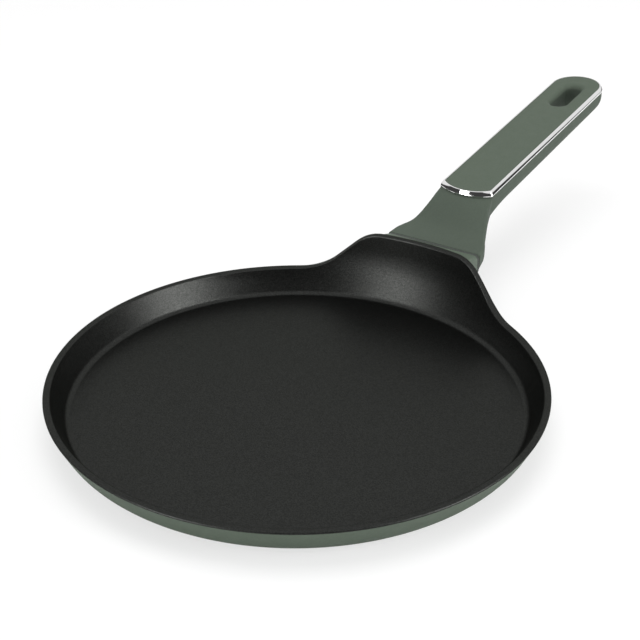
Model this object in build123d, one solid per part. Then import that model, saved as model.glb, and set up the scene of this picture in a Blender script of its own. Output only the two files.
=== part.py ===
"""Crepe pan: cast aluminium pan with a raised lip on the handle side, and a moulded handle.

Millimetres. The origin is the centre of the pan on the hob plane, +Z is up and the handle
runs along +X. Heights called a rise are measured up from the plain rim or from the seam.
"""
from build123d import *
from math import cos, radians, sin, sqrt, tan
import os

os.makedirs("parts", exist_ok=True)

# Pan: size and wall
rim_radius = 120.5
pan_height = 17.6
floor_depth = 13.7
rim_land = 3.6
wall_lean = 25.5
shoulder_radius = 14.7
floor_fillet = 3.2
coat_thick = 0.3
rim_round = 0.8

# Pan: raised lip on the handle side
lip_rise = 22.3
lip_lean = 3.0
lip_bend_rise = 2.0
lip_bend_radius = 14.0
lip_foot_half = 50.9
lip_top_half = 32.0
lip_foot_radius = 22.0
lip_top_radius = 20.0

# Pan: boss and tongue that carry the handle
boss_reach = 14.5
boss_drop = 5.7
boss_half_width = 28.4
boss_height = 12.0
boss_corner = 3.5
boss_root_depth = 25.0
boss_root_flare = 3.4
boss_top_slope = 0.24
boss_foot_slope = 0.5
tongue_length = 21.0
tongue_half_width = 19.0
tongue_thick = 4.8
tongue_lift = 4.6
tongue_corner = 1.5

# Base: magnetic steel disc, its holes and the recess that it sits in
disc_radius = 82.0
disc_thick = 0.9
disc_stand = 0.3
disc_hole_radius = 2.2
disc_ring_pitch = 12.0
disc_ring_count = 6
disc_holes_per_ring = 6

# Handle: place of the grip and its taper
gasket_thick = 0.8
gasket_inset = 0.5
neck_reach = 35.2
neck_rise = 20.0
neck_run = 45.0
grip_tilt = 6.7
grip_depth_root = 17.0
grip_depth_tip = 15.4
grip_under_radius = 7.0
neck_under_radius = 4.0
neck_top_radius = 2.2
fit_gap = 0.1
tongue_gap = 0.2

# Handle: inlaid panel and the bright frame round it
panel_length = 177.2
panel_front_half = 14.2
panel_rear_half = 15.2
panel_front_bow = 4.9
panel_thick = 2.0
frame_border = 1.5
frame_height = 3.6
frame_bevel = 1.0
frame_ledge = 1.6
plinth_step = 0.2
plinth_height = 3.2

# Handle: hollow under the panel, hanging slot
cavity_inset = 2.6
cavity_depth = 12.6
slot_length = 34.0
slot_width = 10.6
slot_tip_distance = 31.5
slot_mouth_round = 1.2
slot_wall = 2.0

# Handle: fasteners
handle_screw_radius = 2.5
handle_screw_head_radius = 4.6
handle_screw_spacing = 22.0
handle_screw_reach = 10.0
panel_screw_radius = 1.5
panel_screw_head_radius = 2.8
panel_screw_head_height = 2.0
panel_screw_length = 9.0
panel_screw_first = 45.0
panel_screw_slot_gap = 23.7
panel_screw_seat_depth = 11.0
panel_post_radius = 3.2
panel_post_length = 5.0
body_post_radius = 4.6
screw_clearance = 0.25
cross_arm = 1.5
cross_width = 0.5
cross_depth = 1.1

# One overrun serves every cut that has to pass a face
overrun = 2.0

# Places worked out from the sizes above
lean = tan(radians(wall_lean))
upper_lean = tan(radians(lip_lean))
body_base = disc_stand
floor_height = pan_height - floor_depth
rim_inner = rim_radius - rim_land
bend_height = pan_height + lip_bend_rise
lip_top = pan_height + lip_rise
seam_x = rim_radius + boss_reach
seam_top = lip_top - boss_drop
seam_foot = seam_top - boss_height
body_front_x = seam_x + gasket_thick
far = rim_radius * 2
base_align = (Align.CENTER, Align.CENTER, Align.MIN)

grip_x = seam_x + neck_reach
grip_z = seam_top + neck_rise
grip_plane = Plane(
    origin=(grip_x, 0, grip_z),
    x_dir=(cos(radians(grip_tilt)), 0, sin(radians(grip_tilt))),
    z_dir=(-sin(radians(grip_tilt)), 0, cos(radians(grip_tilt))),
)
seat_depth = frame_height
end_centre = panel_length - panel_rear_half
slot_centre = panel_length - slot_tip_distance


def closed_profile(points, rounds):
    """Face in the XZ plane from points, with the numbered corners rounded."""
    face = make_face(Plane.XZ * Polyline(*points, close=True))
    for index, radius in rounds:
        corner = Vector(points[index][0], 0, points[index][1])
        vertex = face.vertices().sort_by_distance(corner)[0]
        face = fillet(vertex, radius)
    return face


def wall_points(shift):
    """Inner and outer wall lines of the pan, each moved shift into the metal."""
    side = shift / cos(radians(wall_lean))
    top = lip_top + overrun
    inner = rim_inner + side
    outer = rim_radius - side
    inner_bend = inner + lip_bend_rise * lean
    outer_bend = outer + lip_bend_rise * lean
    climb = (top - bend_height) * upper_lean
    foot_inner = inner - (floor_depth + shift) * lean
    foot_outer = outer - (pan_height - body_base) * lean
    inner_line = [(foot_inner, floor_height - shift), (inner_bend, bend_height), (inner_bend + climb, top)]
    outer_line = [(foot_outer, body_base), (outer_bend, bend_height), (outer_bend + climb, top)]
    return inner_line, outer_line


def turned_wall(inner_shift, outer_shift):
    """Whole turned pan with the lip's full height all round."""
    inner = wall_points(inner_shift)[0]
    outer = wall_points(outer_shift)[1]
    points = [(0, body_base)] + outer + inner[::-1] + [(0, inner[0][1])]
    rounds = [
        (1, shoulder_radius - outer_shift),
        (2, lip_bend_radius - outer_shift),
        (5, lip_bend_radius + rim_land),
        (6, floor_fillet + inner_shift),
    ]
    return revolve(closed_profile(points, rounds), Axis.Z, 360)


def filled_to_wall(shift):
    """Solid of revolution out to the outer wall line, used to trim what joins the wall."""
    outer = wall_points(shift)[1]
    points = [(0, body_base)] + outer + [(0, outer[-1][1])]
    rounds = [(1, shoulder_radius - shift), (2, lip_bend_radius - shift)]
    return revolve(closed_profile(points, rounds), Axis.Z, 360)


def above_rim(drop):
    """Everything above the rim's height line, lowered by drop: flat, then the lip's curve."""
    low = pan_height - drop
    high = lip_top - drop
    ceiling = lip_top + 2 * overrun
    points = [
        (-far, low),
        (-lip_foot_half, low),
        (-lip_top_half, high),
        (lip_top_half, high),
        (lip_foot_half, low),
        (far, low),
        (far, ceiling),
        (-far, ceiling),
    ]
    face = make_face(Plane.YZ * Polyline(*points, close=True))
    corner_radii = (lip_foot_radius + drop, lip_top_radius - drop, lip_top_radius - drop, lip_foot_radius + drop)
    for place, radius in zip(points[1:5], corner_radii):
        vertex = face.vertices().sort_by_distance(Vector(0, place[0], place[1]))[0]
        face = fillet(vertex, radius)
    lip_side = extrude(face, far)
    plain_side = Pos(-far / 2, 0, low) * Box(far, 2 * far, ceiling - low, align=base_align)
    return lip_side + plain_side


def rounded_section(x, half_width, top, foot, top_radius, foot_radius):
    """Face in the plane at x: a box with two radii, always with its edges in the same order."""
    plane = Plane(origin=(x, 0, 0), x_dir=(0, 1, 0), z_dir=(1, 0, 0))
    w, a, b = half_width, top_radius, foot_radius
    k = sqrt(2) / 2
    lines = [
        Line((w, foot + b), (w, top - a)),
        ThreePointArc((w, top - a), (w - a + a * k, top - a + a * k), (w - a, top)),
        Line((w - a, top), (a - w, top)),
        ThreePointArc((a - w, top), (a - w - a * k, top - a + a * k), (-w, top - a)),
        Line((-w, top - a), (-w, foot + b)),
        ThreePointArc((-w, foot + b), (b - w - b * k, foot + b - b * k), (b - w, foot)),
        Line((b - w, foot), (w - b, foot)),
        ThreePointArc((w - b, foot), (w - b + b * k, foot + b - b * k), (w, foot + b)),
    ]
    return make_face(plane * Wire(lines))


def boss_block(inset):
    """The cast boss behind the lip, each side drawn in by inset except the seam face."""
    root_x = seam_x - boss_root_depth
    root = rounded_section(
        root_x,
        boss_half_width + boss_root_flare - inset,
        seam_top + boss_root_depth * boss_top_slope - inset,
        seam_foot - boss_root_depth * boss_foot_slope + inset,
        boss_corner,
        boss_corner,
    )
    face = rounded_section(
        seam_x, boss_half_width - inset, seam_top - inset, seam_foot + inset, boss_corner, boss_corner
    )
    return loft([root, face], ruled=True)


def tongue(gap):
    """Flat tongue on the boss, or with a gap the pocket in the handle that takes it."""
    length = tongue_length + gap
    width = 2 * (tongue_half_width + gap)
    thick = tongue_thick + 2 * gap
    start = Vector(seam_x, 0, seam_foot + tongue_lift - gap)
    block = Pos(start) * Box(length, width, thick, align=(Align.MIN, Align.CENTER, Align.MIN))
    ends = block.edges().filter_by(Axis.Z).group_by(Axis.X)[-1]
    return fillet(ends, tongue_corner + gap)


def handle_screw_places():
    x = body_front_x + handle_screw_reach
    return [(x, side * handle_screw_spacing / 2) for side in (-1, 1)]


def disc_hole_places():
    """Rings of holes in the disc, each ring with six more holes than the one inside it."""
    places = []
    for ring in range(1, disc_ring_count + 1):
        count = ring * disc_holes_per_ring
        for turn in range(count):
            place = Vector(ring * disc_ring_pitch, 0).rotate(Axis.Z, 360 * turn / count)
            places.append((place.X, place.Y))
    return places


def panel_outline(grow):
    """Face of the panel's outline in the grip plane, grown or shrunk all round."""
    front = panel_front_bow
    lines = [
        ThreePointArc((front, panel_front_half), (0, 0), (front, -panel_front_half)),
        Line((front, -panel_front_half), (end_centre, -panel_rear_half)),
        ThreePointArc((end_centre, -panel_rear_half), (panel_length, 0), (end_centre, panel_rear_half)),
        Line((end_centre, panel_rear_half), (front, panel_front_half)),
    ]
    face = make_face(Wire(lines))
    if grow:
        face = offset(face, grow, kind=Kind.INTERSECTION)
    return face


def grip_prism(grow, top, foot):
    """Upright prism on the panel's outline between two depths below the panel's top."""
    face = Pos(0, 0, -foot) * panel_outline(grow)
    return grip_plane * extrude(face, foot - top)


def grip_cylinder(along, radius, top, foot):
    """Upright cylinder in the grip's own frame, between two depths below the panel."""
    shape = Cylinder(radius, foot - top, align=base_align)
    return grip_plane * (Pos(along, 0, -foot) * shape)


def slot_prism(grow, top, foot):
    face = SlotOverall(slot_length + 2 * grow, slot_width + 2 * grow)
    return grip_plane * extrude(Pos(slot_centre, 0, -foot) * face, foot - top)


def grip_half_width(x):
    """Half width of the handle body beside the frame, at a place along X."""
    along = (x - grip_x) / cos(radians(grip_tilt))
    share = (along - panel_front_bow) / (end_centre - panel_front_bow)
    return panel_front_half + share * (panel_rear_half - panel_front_half) + frame_border - plinth_step


def grip_surface(x):
    return grip_z + (x - grip_x) * tan(radians(grip_tilt))


def panel_screw_places():
    return [panel_screw_first, slot_centre - slot_length / 2 - panel_screw_slot_gap]


# Pan body
def rimmed_shell(shift):
    """The turned wall cut to the rim's height line, with its rim rounded."""
    shell = turned_wall(shift, shift) - above_rim(shift)
    level = pan_height - rim_land
    rim_edges = [e for e in shell.edges() if e.bounding_box().min.Z > level and e.length > 2 * rim_land]
    return fillet(rim_edges, rim_round - shift)


bare_shell = rimmed_shell(coat_thick)
coat_skin = rimmed_shell(0) - bare_shell
outer_skin = coat_skin - above_rim(rim_round) - filled_to_wall(rim_land / 2)


def make_pan_body():
    boss = boss_block(coat_thick) - filled_to_wall(coat_thick)
    body = bare_shell + boss + tongue(0)
    recess = Cylinder(disc_radius, disc_thick, align=base_align)
    body -= recess
    for x, y in handle_screw_places():
        height = tongue_thick + 2 * overrun
        hole = Cylinder(handle_screw_radius, height, align=base_align)
        body -= Pos(x, y, seam_foot + tongue_lift - overrun) * hole
    return body


def make_nonstick_coating():
    return coat_skin - outer_skin


def make_exterior_coating():
    base_ring = Cylinder(rim_radius, body_base + coat_thick, align=base_align)
    boss = boss_block(0) - filled_to_wall(0)
    return outer_skin - base_ring + boss - boss_block(coat_thick)


def make_induction_disc():
    disc = Cylinder(disc_radius, disc_thick, align=base_align)
    hole = Cylinder(disc_hole_radius, disc_thick + 2 * overrun)
    return disc - [Pos(x, y, 0) * hole for x, y in disc_hole_places()]


# Handle
def make_handle_gasket():
    half = boss_half_width - gasket_inset
    corner = boss_corner - gasket_inset
    face = rounded_section(seam_x, half, seam_top - gasket_inset, seam_foot + gasket_inset, corner, corner)
    return extrude(face, gasket_thick, dir=(1, 0, 0)) - tongue(tongue_gap)


# Neck: share of the way, then shares of the change in width, top and foot
neck_stations_share = (
    (0.0, 0.0, 0.0, 0.0),
    (0.14, 0.09, 0.04, 0.08),
    (0.28, 0.21, 0.08, 0.16),
    (0.41, 0.37, 0.13, 0.22),
    (0.52, 0.52, 0.22, 0.28),
    (0.61, 0.66, 0.37, 0.34),
    (0.70, 0.78, 0.57, 0.45),
    (0.79, 0.89, 0.75, 0.62),
    (0.88, 0.96, 0.92, 0.83),
    (1.0, 1.0, 1.0, 1.0),
)
# Grip: share of the way to the tip, then share of the tip depth at the rounded end
grip_stations_share = (
    (0.08, 1.0),
    (0.2, 1.0),
    (0.4, 1.0),
    (0.6, 1.0),
    (0.8, 1.0),
    (0.9, 1.0),
    (0.95, 0.93),
    (0.98, 0.78),
    (1.0, 0.55),
)


def handle_sections():
    """Sections of the handle from the seam to the tip, for one smooth loft."""
    sections = []
    neck_end = body_front_x + neck_run
    end_half = grip_half_width(neck_end)
    end_top = grip_surface(neck_end)
    end_foot = end_top - grip_depth_root
    for along, narrow, climb, foot_climb in neck_stations_share:
        x = body_front_x + along * neck_run
        half = boss_half_width + narrow * (end_half - boss_half_width)
        top = seam_top + climb * (end_top - seam_top)
        foot = seam_foot + foot_climb * (end_foot - seam_foot)
        under = neck_under_radius + along * (grip_under_radius - neck_under_radius)
        sections.append(rounded_section(x, half, top, foot, neck_top_radius, under))
    tip = grip_x + (panel_length + frame_border) * cos(radians(grip_tilt)) + overrun
    for along, depth_part in grip_stations_share:
        x = neck_end + along * (tip - neck_end)
        depth = grip_depth_root + along * (grip_depth_tip - grip_depth_root)
        under = min(grip_under_radius, depth * depth_part / 2)
        top = grip_surface(x)
        half = grip_half_width(x)
        sections.append(rounded_section(x, half, top, top - depth * depth_part, neck_top_radius, under))
    return sections


def make_handle_body():
    body = loft(handle_sections())
    reach = panel_length + neck_reach + neck_run
    above_seat = Box(2 * reach, reach, reach, align=base_align)
    body += grip_prism(frame_border - plinth_step, seat_depth, seat_depth + plinth_height)
    body -= grip_plane * (Pos(0, 0, -seat_depth) * above_seat)
    tip_trim = grip_prism(frame_border - plinth_step, 0, grip_depth_root * 2)
    beyond = Box(reach, reach, reach, align=(Align.MIN, Align.CENTER, Align.CENTER))
    body -= grip_plane * (Pos(end_centre, 0, 0) * beyond) - tip_trim
    cavity = grip_prism(-cavity_inset, seat_depth - overrun, cavity_depth)
    cavity -= slot_prism(slot_wall, 0, grip_depth_root)
    for along in panel_screw_places():
        post_top = panel_thick + panel_post_length + fit_gap
        cavity -= grip_cylinder(along, body_post_radius, post_top, grip_depth_root)
    body -= cavity
    collar = slot_prism(slot_wall, panel_thick + fit_gap, cavity_depth + overrun)
    body += collar
    body -= slot_prism(0, 0, grip_depth_root + overrun)
    body -= tongue(tongue_gap)
    for along in panel_screw_places():
        body -= grip_cylinder(along, panel_screw_radius + screw_clearance, 0, grip_depth_root)
        body -= grip_cylinder(
            along, panel_screw_head_radius + screw_clearance, panel_screw_seat_depth, grip_depth_root + overrun
        )
    for screw in handle_screw_cutters():
        body -= screw
    return body


def make_handle_frame():
    outer = Pos(0, 0, -frame_height) * panel_outline(frame_border)
    block = extrude(outer, frame_height)
    top_edges = block.faces().sort_by(Axis.Z)[-1].edges()
    frame = grip_plane * chamfer(top_edges, frame_bevel)
    frame -= grip_prism(fit_gap, -overrun, panel_thick)
    frame -= grip_prism(-frame_ledge, 0, frame_height + overrun)
    return frame


def make_handle_panel():
    plate = extrude(Pos(0, 0, -panel_thick) * panel_outline(0), panel_thick)
    hole = extrude(Pos(slot_centre, 0, -panel_thick) * SlotOverall(slot_length, slot_width), panel_thick)
    plate -= hole
    mouth = plate.faces().sort_by(Axis.Z)[-1].inner_wires()[0].edges()
    panel = grip_plane * fillet(mouth, slot_mouth_round)
    for along in panel_screw_places():
        panel += grip_cylinder(along, panel_post_radius, panel_thick, panel_thick + panel_post_length)
        panel -= grip_cylinder(along, panel_screw_radius, panel_thick, panel_thick + panel_post_length + overrun)
    return panel


# Fasteners
def cross_recess(top):
    arm = Box(2 * cross_arm, 2 * cross_width, cross_depth, align=(Align.CENTER, Align.CENTER, Align.MAX))
    return Pos(0, 0, top) * (arm + Rot(0, 0, 90) * arm)


def handle_screw_floor(x):
    """Height of the neck's underside at a place along X, where a screw head is sunk."""
    along = (x - body_front_x) / neck_run
    neck_end = body_front_x + neck_run
    end_foot = grip_surface(neck_end) - grip_depth_root
    for near, after in zip(neck_stations_share, neck_stations_share[1:]):
        if near[0] <= along <= after[0]:
            part = (along - near[0]) / (after[0] - near[0])
            climb = near[3] + part * (after[3] - near[3])
    return seam_foot + climb * (end_foot - seam_foot)


def handle_screw_cutters():
    x = handle_screw_places()[0][0]
    low = handle_screw_floor(x) + fit_gap
    sink = handle_screw_head_radius - handle_screw_radius
    cutters = []
    for x, y in handle_screw_places():
        top = seam_foot + tongue_lift
        shank = Cylinder(handle_screw_radius + screw_clearance, top - low, align=base_align)
        cone = Cone(handle_screw_head_radius, handle_screw_radius, sink, align=base_align)
        mouth = Cylinder(handle_screw_head_radius, overrun, align=(Align.CENTER, Align.CENTER, Align.MAX))
        cutters.append(Pos(x, y, low) * (shank + cone + mouth))
    return cutters


def make_handle_screws():
    low = handle_screw_floor(handle_screw_places()[0][0]) + fit_gap
    sink = handle_screw_head_radius - handle_screw_radius
    top = seam_foot + tongue_lift + tongue_thick
    screws = []
    for x, y in handle_screw_places():
        shank = Cylinder(handle_screw_radius, top - low, align=base_align)
        cone = Cone(handle_screw_head_radius, handle_screw_radius, sink, align=base_align)
        screw = shank + cone - Rot(180, 0, 0) * cross_recess(0)
        screws.append(Pos(x, y, low) * screw)
    return Compound(children=screws)


def make_panel_screws():
    screws = []
    seat = panel_screw_seat_depth
    for along in panel_screw_places():
        shank = grip_cylinder(along, panel_screw_radius, seat - panel_screw_length, seat)
        head = grip_cylinder(along, panel_screw_head_radius, seat, seat + panel_screw_head_height)
        recess = Pos(along, 0, -seat - panel_screw_head_height) * (Rot(180, 0, 0) * cross_recess(0))
        screws.append(shank + head - grip_plane * recess)
    return Compound(children=screws)


makers = {
    "pan_body": make_pan_body,
    "nonstick_coating": make_nonstick_coating,
    "exterior_coating": make_exterior_coating,
    "induction_disc": make_induction_disc,
    "handle_gasket": make_handle_gasket,
    "handle_body": make_handle_body,
    "handle_frame": make_handle_frame,
    "handle_panel": make_handle_panel,
    "handle_screws": make_handle_screws,
    "panel_screws": make_panel_screws,
}

for name, maker in makers.items():
    shape = maker()
    export_step(shape, f"parts/{name}.step")
    print(name, round(shape.volume), shape.is_valid)
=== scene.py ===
from math import atan2, cos, hypot, pi, radians, sin, sqrt, tan

import bmesh
import bpy
from mathutils import Matrix, Vector


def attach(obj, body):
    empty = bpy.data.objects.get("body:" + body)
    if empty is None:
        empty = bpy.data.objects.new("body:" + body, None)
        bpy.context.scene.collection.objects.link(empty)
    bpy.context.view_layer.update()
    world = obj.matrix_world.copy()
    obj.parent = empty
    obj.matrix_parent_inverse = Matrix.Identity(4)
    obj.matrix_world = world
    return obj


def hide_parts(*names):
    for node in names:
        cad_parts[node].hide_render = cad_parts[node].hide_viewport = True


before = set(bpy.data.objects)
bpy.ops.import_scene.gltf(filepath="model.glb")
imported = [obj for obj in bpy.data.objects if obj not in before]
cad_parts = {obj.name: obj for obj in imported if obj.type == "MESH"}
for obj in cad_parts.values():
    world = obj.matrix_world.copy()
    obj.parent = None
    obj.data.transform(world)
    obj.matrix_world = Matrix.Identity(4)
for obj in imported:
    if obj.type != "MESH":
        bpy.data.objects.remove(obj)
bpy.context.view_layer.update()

# Lengths are in metres and angles in degrees. Names in steps, spans and counts are plain numbers.
# Camera: the aim is the centre of the rim's plane
image_pixels = 640
sensor_width = 0.036
focal_pixels = 1200
view_pitch = 28.5493
view_turn = 57.3397
view_roll = -0.2879
view_distance = 0.57499
rim_centre_pixel = (297.744, 374.330)

# Pan
rim_radius = 0.1205
rim_level = 0.0176
floor_level = 0.0039
base_level = 0.0003
rim_land = 0.0036
wall_lean = 25.5
lip_lean = 3.0
lip_top = 0.0401
bend_level = 0.0196
shoulder_radius = 0.0147
floor_fillet = 0.0032
lip_bend_radius = 0.014
lip_sweep_radius = 0.060
lip_sweep_azimuths = (38, 68)
lip_foot_half = 0.0544
lip_top_half = 0.0312
lip_foot_radius = 0.0246
lip_top_radius = 0.0199
inner_edge_radius = 0.0012
outer_edge_radius = 0.0008
coat_thick = 0.00025
coat_wrap = 0.0010
jacket_foot = 0.0006
line_overrun = 0.004
edge_search_steps = 12
wall_search_steps = 30
turn_steps = 360
line_corner_steps = 10
lip_corner_steps = 16
rim_edge_steps = 6
lining_wall_steps = 26
jacket_wall_steps = 30
floor_ring_shares = (0.04, 0.3, 0.6, 0.85, 0.97)

# Boss and seam
seam_top = 0.0342
seam_foot = 0.0222
seam_plane = 0.135
seam_half = 0.0288
seam_corner = 0.0030
seam_edge = 0.0006
gasket_front = 0.1335
gasket_back = 0.1358
gasket_inset = 0.0001
boss_root_depth = 0.025
boss_root_flare = 0.0034
boss_top_slope = 0.24
boss_foot_slope = 0.5
boss_fillet = 0.0030
boss_top_fillet = 0.0012
boss_top_facing = 0.7
boss_least_fillet = 0.0003
boss_fillet_shrink = 0.8
boss_over_wall = 0.00002
boss_run_steps = 4
boss_fillet_steps = 6
boss_counts = (14, 6, 6)
gasket_spans = 5

# Handle
grip_x = 0.1702
grip_z = 0.0542
grip_tilt = 6.7
panel_length = 0.1772
panel_thick = 0.0020
panel_corner = 0.0009
panel_edge = 0.00015
panel_front_half = 0.0145
panel_front_corner = 0.0060
panel_front_middle = 0.0002
panel_rear_half = 0.0152
frame_border = 0.0021
frame_tip_border = 0.0015
frame_front_corner = 0.0042
frame_front_middle = -0.0015
frame_height = 0.0028
frame_land = 0.0009
frame_foot = 0.0006
frame_foot_tip = 0.0010
frame_upper_tilt = 38
frame_lower_tilt = 25
frame_corner = 0.0015
frame_edge = 0.00012
frame_facet_spans = 6
soft_edge_share = 0.3
fit_gap = 0.0001
plinth_step = 0.0002
plinth_height = 0.0007
grip_shift_front = 0.0005
grip_shift_tip = -0.0003
grip_depth_root = 0.0170
grip_depth_tip = 0.0154
grip_under_radius = 0.007566
grip_most_half = 0.98
grip_most_depth = 0.9
grip_top_edge = 0.0003
grip_root_drop = 0.0022
grip_root_run = 0.022
grip_tip_lift = 0.0082
grip_tip_run = 0.024
grip_tip_turn = 87.5
grip_front_gap = 0.0004
grip_bowed_sections = 2
grip_side_steps = 30
grip_tip_steps = 20
grip_counts = (28, 6, 6)
neck_under_radius = 0.0050
neck_end_under_radius = 0.00663
neck_top_radius = 0.0017
neck_edge_fade = 0.4
neck_edge_fade_from = 0.8
neck_steps = 40
slot_length = 0.034
slot_width = 0.0106
slot_tip_distance = 0.0315
slot_mouth_round = 0.0035
slot_foot_round = 0.0010
slot_foot_steps = 6
slot_mouth_steps = 8
slot_end_steps = 24
slot_overrun = 0.002
outline_front_steps = 13
outline_corner_steps = 5
outline_side_steps = 24
outline_tip_steps = 20

# Finishes: colours, roughness as low and high, and the sizes of specks, marks and relief
exterior_colour = (0.085, 0.110, 0.083)
handle_colour = (0.073, 0.091, 0.072)
panel_colour = (0.086, 0.108, 0.083)
green_speck = 0.0011
green_cloud = 0.006
green_grain = 0.0005
green_relief = 0.000012
nonstick_colour = (0.0325, 0.0335, 0.0320)
nonstick_edge_tint = (0.45, 0.46, 0.44)
nonstick_roughness = (0.30, 0.38)
nonstick_metallic = 0.9
nonstick_flake = 0.0004
nonstick_cloud = 0.0012
nonstick_grain = 0.0006
nonstick_relief = 0.00006
chrome_colour = (0.86, 0.86, 0.86)
chrome_mean_roughness = 0.05
chrome_roughness = (0.03, 0.08)
chrome_cloud = 0.008
chrome_marks = 0.003
chrome_wave = 0.006
chrome_relief = 0.000004
# The spacer's dark grey-green is partly painted shade: it stands in for the shadow in the seam between boss
# and neck.
spacer_seam_shade_colour = (0.052, 0.058, 0.052)
gasket_roughness = 0.75
gasket_speck = 0.0008
gasket_grain = 0.0006
gasket_relief = 0.00002
cast_colour = (0.6, 0.6, 0.61)
base_colour = (0.5, 0.5, 0.51)
screw_colour = (0.55, 0.55, 0.56)
pattern_low = 0.3
pattern_high = 0.7

# Light and floor: softboxes as name, azimuth, elevation, distance, width, height, strength, seen by
floor_radius = 1.3
floor_sides = 96
floor_grey = 0.95
floor_roughness = 0.9
floor_glow_share = 0.65
sky_diffuse = 0.6
sky_gloss = 1.0
sky_gloss_steps = ((0.0, 0.05), (0.295, 0.05), (0.325, 0.85), (1.0, 0.9))
sky_lean = 0.35
softboxes = (
    ("softbox_left", 216, 18, 1.5, 0.6, 0.9, 12, "all"),
    ("softbox_right", 340, 18, 1.5, 0.6, 0.9, 18, "all"),
    ("softbox_top", 90, 80, 1.6, 1.2, 1.2, 9, "matt"),
    ("window_left", 222, 28, 1.5, 0.45, 1.0, 8, "gloss"),
    ("window_low", 228, 1, 1.5, 0.8, 0.35, 20, "gloss"),
    ("window_right", 327, 24, 1.5, 0.6, 1.0, 10, "gloss"),
)


def between(low, high, share):
    return low + (high - low) * share


# Two-dimensional lines
def rounded_line(points, radii, steps):
    """Points of a 2D line with its inner corners rounded, steps spans to each corner."""
    line = [Vector(points[0])]
    for before, corner, after, radius in zip(points, points[1:], points[2:], radii):
        corner = Vector(corner)
        back = (Vector(before) - corner).normalized()
        onward = (Vector(after) - corner).normalized()
        half = back.angle(onward) / 2
        centre = corner + (back + onward).normalized() * radius / sin(half)
        start = corner + back * radius / tan(half) - centre
        end = corner + onward * radius / tan(half) - centre
        line += [centre + radius * start.slerp(end, step / steps) for step in range(steps + 1)]
    return line + [Vector(points[-1])]


def cut_at(line, level):
    """The part of a rising (radius, height) line below level, ending exactly on it."""
    kept = [line[0]]
    for near, after in zip(line, line[1:]):
        if after.y >= level:
            share = (level - near.y) / (after.y - near.y)
            return kept + [near.lerp(after, share)]
        kept.append(after)
    return kept


def respaced(line, count):
    """The same line with count equal spans."""
    lengths = [0]
    for near, after in zip(line, line[1:]):
        lengths.append(lengths[-1] + (after - near).length)
    spaced = []
    span = 0
    for step in range(count + 1):
        goal = lengths[-1] * step / count
        while span < len(lengths) - 2 and lengths[span + 1] < goal:
            span += 1
        share = (goal - lengths[span]) / max(lengths[span + 1] - lengths[span], 1e-12)
        spaced.append(line[span].lerp(line[span + 1], min(max(share, 0), 1)))
    return spaced


def value_at(line, x):
    """Height of a line at x, where x grows along it."""
    for near, after in zip(line, line[1:]):
        if near.x <= x <= after.x and after.x > near.x:
            return near.y + (after.y - near.y) * (x - near.x) / (after.x - near.x)
    return line[-1].y


# Pan profile
lean = tan(radians(wall_lean))
upper_lean = tan(radians(lip_lean))
line_top = lip_top + line_overrun
rim_inner = rim_radius - rim_land


def wall_line(rim, foot_level, foot_radius, bend_radius):
    """Floor or base, wall and lip as one rounded line of (radius, height) points."""
    bend = rim + (bend_level - rim_level) * lean
    points = [
        (0, foot_level),
        (rim - (rim_level - foot_level) * lean, foot_level),
        (bend, bend_level),
        (bend + (line_top - bend_level) * upper_lean, line_top),
    ]
    return rounded_line(points, (foot_radius, bend_radius), line_corner_steps)


outer_line = wall_line(rim_radius, base_level, shoulder_radius, lip_bend_radius)
lip_line = rounded_line(
    [(0, lip_top), (lip_top_half, lip_top), (lip_foot_half, rim_level), (rim_radius * 2, rim_level)],
    (lip_top_radius, lip_foot_radius),
    lip_corner_steps,
)


def inner_line(azimuth):
    """Inner wall's line, which sweeps up into the lip with a wide bend."""
    near, far = lip_sweep_azimuths
    aside = abs((azimuth + pi) % (2 * pi) - pi) * 180 / pi
    share = min(max((far - aside) / (far - near), 0), 1)
    bend = between(lip_bend_radius + rim_land, lip_sweep_radius, share * share * (3 - 2 * share))
    return wall_line(rim_inner, floor_level, floor_fillet, bend)


def rim_height(x, y):
    return value_at(lip_line, abs(y)) if x > 0 else rim_level


def edge_on(line, azimuth):
    """Where a wall line meets the rim's height, in the half plane at azimuth."""
    level = rim_level
    for _ in range(edge_search_steps):
        radius = cut_at(line, level)[-1].x
        level = rim_height(radius * cos(azimuth), radius * sin(azimuth))
    return Vector((radius, level))


def lining_profile(azimuth):
    """Floor, wall, land and the coat's edge over the rim, always with as many points."""
    inside = inner_line(azimuth)
    inner = edge_on(inside, azimuth)
    outer = edge_on(outer_line, azimuth)
    wall = cut_at(inside, inner.y - 2 * inner_edge_radius)
    fillet_start = wall[1].x
    floor = [Vector((fillet_start * share, floor_level)) for share in floor_ring_shares]
    below = cut_at(outer_line, outer.y - coat_wrap - outer_edge_radius)[-1]
    edge_radii = (inner_edge_radius, outer_edge_radius)
    rim = rounded_line([wall[-1], inner, outer, below], edge_radii, rim_edge_steps)
    return floor + respaced(wall[1:], lining_wall_steps) + rim[1:]


def jacket_profile(azimuth):
    """Outer wall from the coat's edge down to the base."""
    outer = edge_on(outer_line, azimuth)
    wall = cut_at(outer_line, outer.y - coat_wrap)
    foot = cut_at(outer_line[1:], jacket_foot)
    rising = [foot[-1]] + [p for p in wall if p.y > jacket_foot]
    return respaced(rising, jacket_wall_steps)[::-1]


# Mesh helpers
def add_piece(name, mesh, material, nodes, sharp_angle=35):
    """Puts a finished mesh in the scene as a piece that stands for CAD nodes."""
    mesh.materials.append(material)
    mesh.shade_smooth()
    mesh.set_sharp_from_angle(angle=radians(sharp_angle))
    piece = bpy.data.objects.new(name, mesh)
    bpy.context.scene.collection.objects.link(piece)
    weighted = piece.modifiers.new("even_shading", "WEIGHTED_NORMAL")
    weighted.keep_sharp = True
    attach(piece, "root")
    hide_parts(*nodes)


def mesh_from(name, vertices, faces):
    mesh = bpy.data.meshes.new(name)
    mesh.from_pydata(vertices, [], faces)
    mesh.validate()
    return mesh


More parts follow.
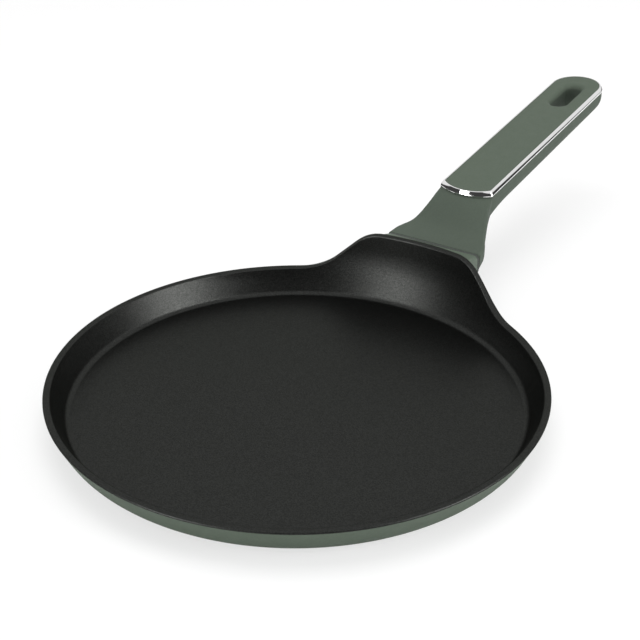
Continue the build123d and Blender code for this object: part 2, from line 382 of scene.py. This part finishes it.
def ring_faces(rows, columns, closed_rows=False):
    """Quads between rows of points, each row a closed ring."""
    faces = []
    for row in range(rows if closed_rows else rows - 1):
        here = row * columns
        above = (row + 1) % rows * columns
        for column in range(columns):
            side = (column + 1) % columns
            faces.append((here + column, here + side, above + side, above + column))
    return faces


def turned_to_face(mesh, outward):
    """Flips all faces of a mesh if the first one doesn't look the way outward says."""
    mesh.update()
    if mesh.polygons[0].normal.dot(Vector(outward)) < 0:
        mesh.flip_normals()
    return mesh


def closed_up(mesh):
    """Makes the face directions of a closed mesh point outwards."""
    work = bmesh.new()
    work.from_mesh(mesh)
    bmesh.ops.recalc_face_normals(work, faces=work.faces)
    work.to_mesh(mesh)
    work.free()
    return mesh


def thickened(mesh, thickness):
    """Gives an open sheet a thickness behind its face."""
    holder = bpy.data.objects.new(mesh.name + "_sheet", mesh)
    bpy.context.scene.collection.objects.link(holder)
    solidify = holder.modifiers.new("thickness", "SOLIDIFY")
    solidify.thickness = thickness
    solidify.offset = -1
    return applied(holder)


def applied(holder):
    """The mesh that an object's modifiers make. The object is removed."""
    graph = bpy.context.evaluated_depsgraph_get()
    mesh = bpy.data.meshes.new_from_object(holder.evaluated_get(graph))
    mesh.name = holder.name
    bpy.data.objects.remove(holder)
    return mesh


# Pan pieces
def turned(profile_at):
    """Vertices of a profile carried round the pan, one ring for each profile point."""
    azimuths = [2 * pi * step / turn_steps for step in range(turn_steps)]
    profiles = [profile_at(azimuth) for azimuth in azimuths]
    rows = len(profiles[0])
    vertices = [
        (profiles[step][row].x * cos(azimuth), profiles[step][row].x * sin(azimuth), profiles[step][row].y)
        for row in range(rows)
        for step, azimuth in enumerate(azimuths)
    ]
    return vertices, rows


def make_lining(material):
    vertices, rows = turned(lining_profile)
    faces = ring_faces(rows, turn_steps)
    faces.append(tuple(range(turn_steps))[::-1])
    sheet = turned_to_face(mesh_from("pan_lining", vertices, faces), (0, 0, 1))
    mesh = thickened(sheet, coat_thick)
    add_piece("pan_lining", mesh, material, ["nonstick_coating"])


def make_jacket(material):
    vertices, rows = turned(jacket_profile)
    sheet = turned_to_face(mesh_from("pan_jacket", vertices, ring_faces(rows, turn_steps)), (1, 0, 0))
    mesh = thickened(sheet, coat_thick)
    add_piece("pan_jacket", mesh, material, ["exterior_coating"])


# Rounded sections across the handle
def quarter_turn(y, z, radius, first, count):
    """Points of a corner round the centre (y, z), turning down from the angle first."""
    angles = [first - pi / 2 * step / count for step in range(count)]
    return [(y + radius * cos(angle), z + radius * sin(angle)) for angle in angles]


def section_loop(half, top, foot, top_radius, foot_radius, counts):
    """Ring of (y, z) points: along the top, down one side, along the foot and up again."""
    flat, corner, side = counts
    upper_half, lower_half = half - top_radius, half - foot_radius
    high, low = top - top_radius, foot + foot_radius
    ring = [((2 * step / flat - 1) * upper_half, top) for step in range(flat)]
    ring += quarter_turn(upper_half, high, top_radius, pi / 2, corner)
    ring += [(half, between(high, low, step / side)) for step in range(side)]
    ring += quarter_turn(lower_half, low, foot_radius, 0, corner)
    ring += [((1 - 2 * step / flat) * lower_half, foot) for step in range(flat)]
    ring += quarter_turn(-lower_half, low, foot_radius, -pi / 2, corner)
    ring += [(-half, between(low, high, step / side)) for step in range(side)]
    return ring + quarter_turn(-upper_half, high, top_radius, pi, corner)


def wall_radius(height):
    return cut_at(outer_line[1:], height)[-1].x


def boss_section(depth, inset=0):
    """Section across the boss at a depth in front of the seam's plane."""
    return section_loop(
        seam_half + depth / boss_root_depth * boss_root_flare - inset,
        seam_top + depth * boss_top_slope - inset,
        seam_foot - depth * boss_foot_slope + inset,
        seam_corner,
        seam_corner,
        boss_counts,
    )


def above_lip(place):
    """Whether a place on the outer wall comes near the lip's edge or above it."""
    return place.z > rim_height(place.x, place.y) - coat_wrap - outer_edge_radius


def where_wall_starts(start, run):
    """The place on the way from start along run where the pan's outer wall is met."""
    low, high = 0.0, 1.0
    for _ in range(wall_search_steps):
        share = (low + high) / 2
        place = start + share * run
        outside = hypot(place.x, place.y) > wall_radius(place.z)
        low, high = (share, high) if outside else (low, share)
    return start + low * run


def just_outside_wall(place):
    """The place moved level, to lie a hair outside the outer wall."""
    wall = wall_radius(place.z) + boss_over_wall
    flat = hypot(place.x, place.y)
    return Vector((place.x * wall / flat, place.y * wall / flat, place.z))


def boss_column(face_point, root_point):
    """Points from the boss's soft face edge along its side, then over the fillet to the wall."""
    y, z = face_point
    start = Vector((gasket_front, y, z))
    run = Vector((seam_plane - boss_root_depth, *root_point)) - start
    meet = where_wall_starts(start, run)
    outward = Vector((0, y, z - (seam_top + seam_foot) / 2)).normalized()
    radial = Vector((meet.x, meet.y, 0)).normalized()
    along_wall = (outward - outward.dot(radial) * radial).normalized()
    reach = boss_fillet if outward.z < boss_top_facing else boss_top_fillet
    while reach > boss_least_fillet and above_lip(meet + along_wall * reach):
        reach *= boss_fillet_shrink
    bend_from = meet - run.normalized() * reach
    bend_to = just_outside_wall(meet + along_wall * reach)
    inset = Vector((0, -outward.y, -outward.z)) * seam_edge
    side_start = start - Vector((seam_edge, 0, 0))
    edge_middle = start + (inset - Vector((seam_edge, 0, 0))) * soft_edge_share
    column = [start + inset, edge_middle]
    column += [side_start.lerp(bend_from, step / boss_run_steps) for step in range(boss_run_steps)]
    for step in range(boss_fillet_steps + 1):
        share = step / boss_fillet_steps
        column.append(bend_from.lerp(meet, share).lerp(meet.lerp(bend_to, share), share))
    return column


def make_boss(material):
    """The boss behind the lip, its sides flaring into the pan's wall."""
    face = boss_section(seam_plane - gasket_front)
    root = boss_section(boss_root_depth)
    columns = [boss_column(*pair) for pair in zip(face, root)]
    rows = len(columns[0])
    vertices = [tuple(column[row]) for row in range(rows) for column in columns]
    faces = ring_faces(rows, len(columns))
    faces.append(tuple(range(len(columns))))
    mesh = closed_up(mesh_from("boss_jacket", vertices, faces))
    add_piece("boss_jacket", mesh, material, ["exterior_coating"])


def make_gasket(material):
    """Spacer between boss and neck, a little smaller than both. Its width and dark grey are painted shade of
    the seam between them.
    """
    rows = []
    for step in range(gasket_spans + 1):
        x = between(gasket_front, gasket_back, step / gasket_spans)
        section = boss_section(max(seam_plane - x, 0), gasket_inset)
        rows += [(x, y, z) for y, z in section]
    faces = ring_faces(gasket_spans + 1, len(section))
    faces.append(tuple(range(len(section))))
    faces.append(tuple(range(gasket_spans * len(section), len(rows))))
    mesh = closed_up(mesh_from("seam_gasket", rows, faces))
    add_piece("seam_gasket", mesh, material, ["handle_gasket"])


# The grip's own frame: u along it, y across, h above the panel's top
tilt_cos = cos(radians(grip_tilt))
tilt_sin = sin(radians(grip_tilt))
rear_centre = panel_length - panel_rear_half
slot_centre = panel_length - slot_tip_distance


def on_grip(u, y, h):
    aside = between(grip_shift_front, grip_shift_tip, min(max(u / panel_length, 0), 1))
    return Vector((grip_x + u * tilt_cos - h * tilt_sin, y + aside, grip_z + u * tilt_sin + h * tilt_cos))


class Outline:
    """Sizes of the grip's outline: share 0 is the panel's edge, share 1 the frame's outer edge."""

    def __init__(self, share, inset=0):
        self.middle = between(panel_front_middle, frame_front_middle, share) + inset
        self.corner = between(panel_front_corner, frame_front_corner, share) + inset
        self.half = panel_front_half + frame_border * share - inset
        self.rear_half = panel_rear_half + frame_border * share - inset
        self.reach = panel_rear_half + frame_tip_border * share - inset
        bow = self.corner - self.middle
        self.bow_radius = (self.half**2 + bow**2) / (2 * bow)

    def front(self, y):
        """How far along the grip the bowed front lies at y."""
        return self.middle + self.bow_radius - sqrt(self.bow_radius**2 - min(abs(y), self.half) ** 2)

    def half_at(self, u):
        """Half width at u, up to the tip."""
        if u < rear_centre:
            return between(self.half, self.rear_half, (u - self.corner) / (rear_centre - self.corner))
        return self.rear_half * sqrt(max(1 - ((u - rear_centre) / self.reach) ** 2, 0))

    def points(self, corner_radius=frame_corner):
        """The outline as a ring of (u, y) points, its front corners rounded."""
        corner = Vector((self.corner, self.half))
        along = (Vector((rear_centre, self.rear_half)) - corner).normalized()
        swing = atan2(self.half, self.bow_radius - self.corner + self.middle)
        tangent = Vector((sin(swing), cos(swing)))
        reach = corner_radius * tan(tangent.angle(along) / 2)
        last = self.half - reach * cos(swing)
        front_places = [last * step / outline_front_steps for step in range(outline_front_steps)]
        half = [Vector((self.front(y), y)) for y in front_places]
        bend = [corner - tangent * reach * 2, corner, corner + along * reach * 2]
        half += rounded_line(bend, (corner_radius,), outline_corner_steps)[1:-1]
        start = half[-1]
        end = Vector((rear_centre, self.rear_half))
        half += [start.lerp(end, step / outline_side_steps) for step in range(1, outline_side_steps)]
        for step in range(outline_tip_steps + 1):
            angle = pi / 2 * step / outline_tip_steps
            half.append(Vector((rear_centre + self.reach * sin(angle), self.rear_half * cos(angle))))
        return half + [Vector((p.x, -p.y)) for p in half[-2:0:-1]]


body_outline = Outline(1, plinth_step)


def loops_mesh(name, loops, closed_rows=False):
    """Closed mesh through loops of (u, y, h) points that lie one above the other."""
    columns = len(loops[0])
    vertices = [tuple(on_grip(*point)) for loop in loops for point in loop]
    faces = ring_faces(len(loops), columns, closed_rows)
    if not closed_rows:
        last = (len(loops) - 1) * columns
        faces.append(tuple(range(columns)))
        faces.append(tuple(range(last, last + columns)))
    return closed_up(mesh_from(name, vertices, faces))


def slot_outline(grow):
    """Outline of the hanging slot in the grip's plane."""
    radius = slot_width / 2 + grow
    straight = (slot_length - slot_width) / 2
    points = []
    for end, first in ((1, -pi / 2), (-1, pi / 2)):
        for step in range(slot_end_steps + 1):
            angle = first + pi * step / slot_end_steps
            points.append((slot_centre + end * straight + radius * cos(angle), radius * sin(angle)))
    return points


def slot_cutter():
    """Plug that cuts the slot, flared at both ends so that its mouths come out rounded."""
    foot = -(grip_depth_tip + (grip_depth_root - grip_depth_tip) * slot_tip_distance / panel_length)
    levels = [(slot_foot_round, foot - slot_overrun)]
    for step in range(slot_foot_steps + 1):
        angle = pi / 2 * step / slot_foot_steps
        levels.append((slot_foot_round * (1 - sin(angle)), foot + slot_foot_round * (1 - cos(angle))))
    for step in range(slot_mouth_steps + 1):
        angle = pi / 2 * step / slot_mouth_steps
        levels.append((slot_mouth_round * (1 - cos(angle)), -slot_mouth_round * (1 - sin(angle))))
    levels.append((slot_mouth_round, slot_overrun))
    loops = [[(u, y, h) for u, y in slot_outline(grow)] for grow, h in levels]
    return loops_mesh("slot_cutter", loops)


def cut_by_slot(mesh):
    """The mesh with the hanging slot cut through it."""
    holder = bpy.data.objects.new(mesh.name, mesh)
    cutter = bpy.data.objects.new("slot_cutter", slot_cutter())
    bpy.context.scene.collection.objects.link(holder)
    bpy.context.scene.collection.objects.link(cutter)
    boolean = holder.modifiers.new("slot", "BOOLEAN")
    boolean.object = cutter
    boolean.solver = "EXACT"
    cut = applied(holder)
    bpy.data.objects.remove(cutter)
    return cut


def make_panel(material):
    """Inlay with the slot's soft mouth. Inside the frame it reaches down to the grip's body."""
    section = [
        (-panel_edge, 0),
        (-panel_edge * soft_edge_share, -panel_edge * soft_edge_share),
        (0, -panel_edge),
        (0, -panel_thick),
        (-frame_foot * 2, -panel_thick),
        (-frame_foot * 2, -frame_height),
    ]
    loops = [[(p.x, p.y, h) for p in Outline(0, -grow).points(panel_corner)] for grow, h in section]
    mesh = cut_by_slot(loops_mesh("grip_panel", loops))
    add_piece("grip_panel", mesh, material, ["handle_panel"])


def frame_section():
    """The frame's section: share across, height at the front and height at the tip of each point."""
    e = frame_edge
    side = [(frame_land, -e * 0.2), (frame_land + e, -e * 0.8)]
    rise = (frame_height - frame_foot - e) / frame_facet_spans
    for span in range(frame_facet_spans):
        tilt = between(frame_upper_tilt, frame_lower_tilt, (span + 0.5) / frame_facet_spans)
        side.append((side[-1][0] + rise * tan(radians(tilt)), side[-1][1] - rise))
    widest = side[-1][0] + e * 0.5
    inner = [(fit_gap, -panel_thick), (fit_gap, -e)]
    inner += [(fit_gap + e * soft_edge_share, -e * soft_edge_share), (fit_gap + e, 0)]
    line = inner + side + [
        (widest, side[-1][1] - e),
        (widest, -frame_height + e),
        (widest - e, -frame_height),
        (-frame_foot, -frame_height),
        (-frame_foot, -panel_thick),
    ]
    flatter = (frame_height - frame_foot_tip) / (frame_height - frame_foot)
    facet = range(len(inner), len(inner) + len(side))
    return [(grow / widest, h, h * flatter if i in facet else h) for i, (grow, h) in enumerate(line)]


def make_trim(material):
    loops = []
    for share, front, tip in frame_section():
        ring = Outline(share).points()
        loops.append([(p.x, p.y, between(front, tip, min(max(p.x / rear_centre, 0), 1))) for p in ring])
    mesh = loops_mesh("grip_trim", loops, closed_rows=True)
    add_piece("grip_trim", mesh, material, ["handle_frame"], sharp_angle=20)


# Neck stations as shares: the way along, then the change in width, top and foot
neck_stations_share = (
    (0.0, 0.0, 0.0, 0.0),
    (0.1, 0.03, 0.02, 0.06),
    (0.2, 0.08, 0.05, 0.12),
    (0.3, 0.20, 0.08, 0.18),
    (0.4, 0.36, 0.12, 0.24),
    (0.5, 0.49, 0.19, 0.31),
    (0.6, 0.61, 0.33, 0.40),
    (0.7, 0.73, 0.51, 0.51),
    (0.8, 0.84, 0.70, 0.65),
    (0.9, 0.93, 0.87, 0.82),
    (1.0, 1.0, 1.0, 1.0),
)


def smooth_value(a, b, c, d, t):
    """Value at a share t of the way from b to c, on the smooth curve through all four."""
    return 0.5 * (2 * b + (c - a) * t + (2 * a - 5 * b + 4 * c - d) * t * t + (3 * b - a - 3 * c + d) * t**3)


def smooth_table(stations, count):
    """The table's values at count even steps, through a smooth curve."""
    spaced = []
    last = len(stations) - 1
    for step in range(count + 1):
        place = step / count * last
        i = min(int(place), last - 1)
        t = place - i
        p0, p1, p2, p3 = (stations[min(max(k, 0), last)] for k in (i - 1, i, i + 1, i + 2))
        spaced.append([smooth_value(*around, t) for around in zip(p0, p1, p2, p3)])
    return spaced


ring_points = 2 * grip_counts[0] + 4 * grip_counts[1] + 2 * grip_counts[2]


def on_top(number):
    """Whether a point of a section ring lies on its top face or top corners."""
    return number < grip_counts[0] + grip_counts[1] or number >= ring_points - grip_counts[1]


def depth_at(u):
    """How far the grip's underside lies below the panel's top, sweeping down to the neck."""
    sweep = max(0, 1 - (u - body_outline.corner) / grip_root_run)
    return between(grip_depth_root, grip_depth_tip, u / panel_length) + grip_root_drop * sweep**2


def neck_rings():
    """Sections from the seam to the frame's front, the last ones bowed like the frame."""
    corner = body_outline.corner
    end_half = body_outline.half
    end = on_grip(corner, 0, -frame_height)
    end_foot = on_grip(corner, 0, -depth_at(corner)).z
    rings = []
    stations = smooth_table(neck_stations_share, neck_steps)
    for index, (along, narrow, climb, foot_climb) in enumerate([stations[0]] + stations):
        inset = seam_edge if index == 0 else 0
        half = between(seam_half, end_half, narrow) - inset
        top = between(seam_top, end.z - plinth_height, climb) - inset
        foot = between(seam_foot, end_foot, foot_climb) + inset
        under = between(neck_under_radius, neck_end_under_radius, along)
        fade = max(0, along - neck_edge_fade_from) / (1 - neck_edge_fade_from)
        edge = neck_top_radius * (1 - neck_edge_fade * fade)
        section = section_loop(half, top, foot, edge, under, grip_counts)
        ring = []
        for number, (y, z) in enumerate(section):
            bowed = on_grip(body_outline.front(y / half * end_half), 0, -frame_height)
            reach = bowed if on_top(number) else end
            x = between(gasket_back, reach.x, along)
            if on_top(number):
                z += climb * (bowed.z - end.z)
            if index == 1:
                x = gasket_back + seam_edge
            ring.append((x, y + along * grip_shift_front, z))
        rings.append(ring)
    return rings


def grip_rings():
    """Sections of the grip under the frame, from its bowed front to the tip."""
    start = body_outline.corner + grip_front_gap
    tip = rear_centre + body_outline.reach
    places = [between(start, rear_centre, step / grip_side_steps) for step in range(grip_side_steps + 1)]
    for step in range(1, grip_tip_steps + 1):
        angle = radians(grip_tip_turn) * step / grip_tip_steps
        places.append(rear_centre + body_outline.reach * sin(angle))
    rings = []
    for index, u in enumerate(places):
        half = body_outline.half_at(u)
        lift = max(0, 1 - (tip - u) / grip_tip_run)
        depth = depth_at(u) - grip_tip_lift * (1 - sqrt(1 - lift * lift))
        under = min(grip_under_radius, half * grip_most_half, (depth - frame_height) * grip_most_depth)
        section = section_loop(half, -frame_height, -depth, grip_top_edge, under, grip_counts)
        ring = []
        for number, (y, h) in enumerate(section):
            bow = start - body_outline.front(y / half * body_outline.half)
            back = bow * max(0, 1 - index / grip_bowed_sections) if on_top(number) else 0
            ring.append(tuple(on_grip(u - back, y, h)))
        rings.append(ring)
    return rings


def make_grip(material):
    """Neck and lower half of the grip as one closed skin, with the slot cut through."""
    rings = neck_rings() + grip_rings()
    faces = ring_faces(len(rings), ring_points)
    last = (len(rings) - 1) * ring_points
    faces.append(tuple(range(ring_points)))
    faces.append(tuple(range(last, last + ring_points)))
    vertices = [point for ring in rings for point in ring]
    mesh = cut_by_slot(closed_up(mesh_from("grip_body", vertices, faces)))
    add_piece("grip_body", mesh, material, ["handle_body"])


# Camera, stage and lights
def camera_axes():
    """Right, up and forward directions of the photograph's camera in the row frame."""
    turn = radians(view_turn)
    pitch = radians(view_pitch)
    roll = radians(view_roll)
    level_right = Vector((cos(turn), -sin(turn), 0))
    away = Vector((sin(turn), cos(turn), 0))
    level_up = sin(pitch) * away + cos(pitch) * Vector((0, 0, 1))
    forward = cos(pitch) * away - sin(pitch) * Vector((0, 0, 1))
    right = cos(roll) * level_right - sin(roll) * level_up
    up = sin(roll) * level_right + cos(roll) * level_up
    return right, up, forward


def make_camera():
    data = bpy.data.cameras.new("camera")
    data.sensor_width = sensor_width * 1000
    data.lens = data.sensor_width * focal_pixels / image_pixels
    data.clip_start = 0.01
    data.clip_end = 20
    right, up, forward = camera_axes()
    half = image_pixels / 2
    across = (rim_centre_pixel[0] - half) * view_distance / focal_pixels
    down = (rim_centre_pixel[1] - half) * view_distance / focal_pixels
    place = Vector((0, 0, rim_level)) - across * right + down * up - view_distance * forward
    camera = bpy.data.objects.new("camera", data)
    turned_axes = Matrix((right, up, -forward)).transposed().to_4x4()
    camera.matrix_world = Matrix.Translation(place) @ turned_axes
    bpy.context.scene.collection.objects.link(camera)
    bpy.context.scene.camera = camera


def direction(azimuth, elevation):
    """Unit vector from the pan: azimuth 0 is the camera's right, 90 is away from the camera."""
    right, _, forward = camera_axes()
    level_right = Vector((right.x, right.y, 0)).normalized()
    away = Vector((forward.x, forward.y, 0)).normalized()
    a, e = radians(azimuth), radians(elevation)
    return cos(e) * (cos(a) * level_right + sin(a) * away) + sin(e) * Vector((0, 0, 1))


def make_softbox(name, azimuth, elevation, distance, width, height, strength, seen_by):
    """Area lamp that faces the pan's centre. Its strength is in watts per square metre."""
    data = bpy.data.lights.new(name, "AREA")
    data.shape = "RECTANGLE"
    data.size = width
    data.size_y = height
    data.energy = strength * width * height
    lamp = bpy.data.objects.new(name, data)
    towards = direction(azimuth, elevation)
    facing = towards.to_track_quat("Z", "Y").to_matrix().to_4x4()
    lamp.matrix_world = Matrix.Translation(distance * towards) @ facing
    lamp.visible_diffuse = seen_by != "gloss"
    lamp.visible_glossy = seen_by != "matt"
    bpy.context.scene.collection.objects.link(lamp)


def mixed(tree, share, first, second):
    """Shader that is first where share is 0 and second where it is 1."""
    mix = tree.nodes.new("ShaderNodeMixShader")
    tree.links.new(share, mix.inputs["Fac"])
    tree.links.new(first, mix.inputs[1])
    tree.links.new(second, mix.inputs[2])
    return mix.outputs[0]


def background(tree, strength):
    """White surroundings of a strength."""
    node = tree.nodes.new("ShaderNodeBackground")
    node.inputs["Color"].default_value = (1, 1, 1, 1)
    node.inputs["Strength"].default_value = strength
    return node


def make_world():
    """White to the camera, soft to matt surfaces, and a dark horizon under a bright sky for gloss."""
    world = bpy.data.worlds.new("studio")
    world.use_nodes = True
    tree = world.node_tree
    tree.nodes.clear()
    out = tree.nodes.new("ShaderNodeOutputWorld")
    soft, gloss, white = (background(tree, strength) for strength in (sky_diffuse, sky_gloss, 1))
    place = tree.nodes.new("ShaderNodeTexCoord")
    height = tree.nodes.new("ShaderNodeVectorMath")
    height.operation = "DOT_PRODUCT"
    height.inputs[1].default_value = sky_lean * direction(90, 0) + Vector((0, 0, 1))
    ramp = tree.nodes.new("ShaderNodeValToRGB")
    fill_ramp(ramp, sky_gloss_steps)
    tree.links.new(place.outputs["Generated"], height.inputs[0])
    tree.links.new(height.outputs["Value"], ramp.inputs["Fac"])
    tree.links.new(ramp.outputs["Color"], gloss.inputs["Color"])
    path = tree.nodes.new("ShaderNodeLightPath")
    unseen = mixed(tree, path.outputs["Is Glossy Ray"], soft.outputs[0], gloss.outputs[0])
    seen = mixed(tree, path.outputs["Is Camera Ray"], unseen, white.outputs[0])
    tree.links.new(seen, out.inputs["Surface"])
    bpy.context.scene.world = world


def floor_material():
    """Matt white. Part of it glows for the camera, so that the shadow stays light."""
    material = bpy.data.materials.new("floor_white")
    material.use_nodes = True
    tree = material.node_tree
    shader = tree.nodes["Principled BSDF"]
    shader.inputs["Base Color"].default_value = (floor_grey, floor_grey, floor_grey, 1)
    shader.inputs["Roughness"].default_value = floor_roughness
    shader.inputs["Specular IOR Level"].default_value = 0.0
    glow = tree.nodes.new("ShaderNodeEmission")
    glow.inputs["Strength"].default_value = 1
    path = tree.nodes.new("ShaderNodeLightPath")
    share = tree.nodes.new("ShaderNodeMapRange")
    share.inputs["To Max"].default_value = floor_glow_share
    tree.links.new(path.outputs["Is Camera Ray"], share.inputs["Value"])
    surface = mixed(tree, share.outputs["Result"], shader.outputs[0], glow.outputs[0])
    tree.links.new(surface, tree.nodes["Material Output"].inputs["Surface"])
    return material


def make_floor():
    """Round floor under the pan."""
    angles = [2 * pi * side / floor_sides for side in range(floor_sides)]
    ring = [(floor_radius * cos(angle), floor_radius * sin(angle), 0) for angle in angles]
    mesh = mesh_from("floor", ring, [tuple(range(floor_sides))])
    mesh.materials.append(floor_material())
    floor = bpy.data.objects.new("floor", mesh)
    bpy.context.scene.collection.objects.link(floor)


# Materials
def fill_ramp(ramp, steps):
    """Sets a colour ramp from (position, grey or colour) steps."""
    elements = ramp.color_ramp.elements
    while len(elements) < len(steps):
        elements.new(0.5)
    for element, (position, value) in zip(elements, steps):
        colour = value if isinstance(value, tuple) else (value, value, value)
        element.position = position
        element.color = (*colour, 1)


class Finish:
    """Material with textures in metres, laid out from the object's own coordinates."""

    def __init__(self, name, roughness, metallic=0.0, specular=0.5):
        self.material = bpy.data.materials.new(name)
        self.material.use_nodes = True
        self.nodes = self.material.node_tree.nodes
        self.links = self.material.node_tree.links
        self.shader = self.nodes["Principled BSDF"]
        self.shader.inputs["Roughness"].default_value = roughness
        self.shader.inputs["Metallic"].default_value = metallic
        self.shader.inputs["Specular IOR Level"].default_value = specular
        self.place = self.nodes.new("ShaderNodeTexCoord").outputs["Object"]

    def stretched(self, scale):
        """Coordinates multiplied by a scale for each axis."""
        mapping = self.nodes.new("ShaderNodeMapping")
        mapping.inputs["Scale"].default_value = scale
        self.links.new(self.place, mapping.inputs["Vector"])
        return mapping.outputs["Vector"]

    def noise(self, size, detail=2, place=None):
        """Soft noise whose patches are about size metres across."""
        texture = self.nodes.new("ShaderNodeTexNoise")
        texture.inputs["Scale"].default_value = 1 / size
        texture.inputs["Detail"].default_value = detail
        self.links.new(place or self.place, texture.inputs["Vector"])
        return texture.outputs["Fac"]

    def cells(self, size):
        """Flakes about size metres across, each with its own value."""
        texture = self.nodes.new("ShaderNodeTexVoronoi")
        texture.inputs["Scale"].default_value = 1 / size
        self.links.new(self.place, texture.inputs["Vector"])
        return texture.outputs["Color"]

    def tinted(self, pattern, colour, spread):
        """Base colour that varies by a share to either side."""
        low = tuple(channel * (1 - spread) for channel in colour)
        high = tuple(channel * (1 + spread) for channel in colour)
        ramp = self.nodes.new("ShaderNodeValToRGB")
        fill_ramp(ramp, ((pattern_low, low), (pattern_high, high)))
        self.links.new(pattern, ramp.inputs["Fac"])
        self.links.new(ramp.outputs["Color"], self.shader.inputs["Base Color"])

    def roughened(self, pattern, low, high):
        """Roughness that follows a pattern between two values."""
        spread = self.nodes.new("ShaderNodeMapRange")
        spread.inputs["From Min"].default_value = pattern_low
        spread.inputs["From Max"].default_value = pattern_high
        spread.inputs["To Min"].default_value = low
        spread.inputs["To Max"].default_value = high
        self.links.new(pattern, spread.inputs["Value"])
        self.links.new(spread.outputs["Result"], self.shader.inputs["Roughness"])

    def relief(self, pattern, height):
        """Bump of a height in metres."""
        bump = self.nodes.new("ShaderNodeBump")
        bump.inputs["Strength"].default_value = 1
        bump.inputs["Distance"].default_value = height
        self.links.new(pattern, bump.inputs["Height"])
        self.links.new(bump.outputs["Normal"], self.shader.inputs["Normal"])


def green_finish(name, colour, roughness, specular):
    """Matt green coat with a fine sprayed grain."""
    finish = Finish(name, roughness, specular=specular)
    finish.tinted(finish.noise(green_speck, detail=3), colour, spread=0.05)
    finish.roughened(finish.noise(green_cloud, detail=4), roughness - 0.05, roughness + 0.05)
    finish.relief(finish.noise(green_grain), green_relief)
    return finish.material


def nonstick_finish():
    """Black coat full of fine mineral flakes, which glitter where a lamp is reflected."""
    finish = Finish("nonstick_black", sum(nonstick_roughness) / 2, nonstick_metallic)
    finish.shader.inputs["Specular Tint"].default_value = (*nonstick_edge_tint, 1)
    finish.tinted(finish.cells(nonstick_flake), nonstick_colour, spread=0.2)
    finish.roughened(finish.noise(nonstick_cloud, detail=3), *nonstick_roughness)
    finish.relief(finish.noise(nonstick_grain), nonstick_relief)
    return finish.material


def metal_finish(name, colour, roughness, grain, stretch=(1, 1, 1)):
    """Bare metal with fine marks, drawn out along an axis by stretch."""
    finish = Finish(name, roughness, 1.0)
    marks = finish.noise(grain, detail=4, place=finish.stretched(stretch))
    finish.tinted(marks, colour, spread=0.06)
    finish.roughened(marks, roughness * 0.8, roughness * 1.25)
    finish.relief(marks, grain * 0.03)
    return finish.material


def turned_finish(name, colour, roughness, pitch):
    """Metal with turning marks round the pan's axis."""
    finish = Finish(name, roughness, 1.0)
    rings = finish.nodes.new("ShaderNodeTexWave")
    rings.wave_type = "RINGS"
    rings.rings_direction = "Z"
    rings.inputs["Scale"].default_value = 0.5 / pitch
    rings.inputs["Distortion"].default_value = 0.4
    finish.links.new(finish.place, rings.inputs["Vector"])
    finish.tinted(finish.noise(pitch * 5, detail=3), colour, spread=0.05)
    finish.roughened(finish.noise(pitch * 1.25, detail=3), roughness - 0.06, roughness + 0.06)
    finish.relief(rings.outputs["Fac"], pitch * 0.02)
    return finish.material


def chrome_finish():
    """Bright plating with the faintest waviness."""
    finish = Finish("frame_chrome", chrome_mean_roughness, 1.0)
    finish.tinted(finish.noise(chrome_cloud), chrome_colour, spread=0.02)
    finish.roughened(finish.noise(chrome_marks, detail=4), *chrome_roughness)
    finish.relief(finish.noise(chrome_wave, detail=1), chrome_relief)
    return finish.material


def spacer_seam_shade_finish(name, colour):
    """Dull grey rubber of the spacer, its grey darkened as painted shade of the seam."""
    finish = Finish(name, gasket_roughness, specular=0.3)
    finish.tinted(finish.noise(gasket_speck, detail=3), colour, spread=0.15)
    finish.relief(finish.noise(gasket_grain, detail=3), gasket_relief)
    return finish.material


nonstick = nonstick_finish()
outside_green = green_finish("exterior_green", exterior_colour, roughness=0.5, specular=0.15)
grip_green = green_finish("handle_green", handle_colour, roughness=0.62, specular=0.12)
panel_green = green_finish("panel_green", panel_colour, roughness=0.62, specular=0.12)
steel = metal_finish("screw_steel", screw_colour, roughness=0.3, grain=0.0006)
finishes = {
    "pan_body": turned_finish("cast_aluminium", cast_colour, roughness=0.38, pitch=0.0008),
    "induction_disc": metal_finish("base_steel", base_colour, 0.35, 0.0008, stretch=(1, 0.05, 1)),
    "handle_screws": steel,
    "panel_screws": steel,
}
for node, finish in finishes.items():
    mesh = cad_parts[node].data
    mesh.materials.clear()
    mesh.materials.append(finish)

make_lining(nonstick)
make_jacket(outside_green)
make_boss(outside_green)
# The spacer's dark grey paints the shade of the seam between boss and neck.
make_gasket(spacer_seam_shade_finish("gasket_grey", spacer_seam_shade_colour))
make_grip(grip_green)
make_trim(chrome_finish())
make_panel(panel_green)
make_camera()
make_world()
make_floor()
for softbox in softboxes:
    make_softbox(*softbox)
bpy.context.scene.view_settings.view_transform = "Standard"
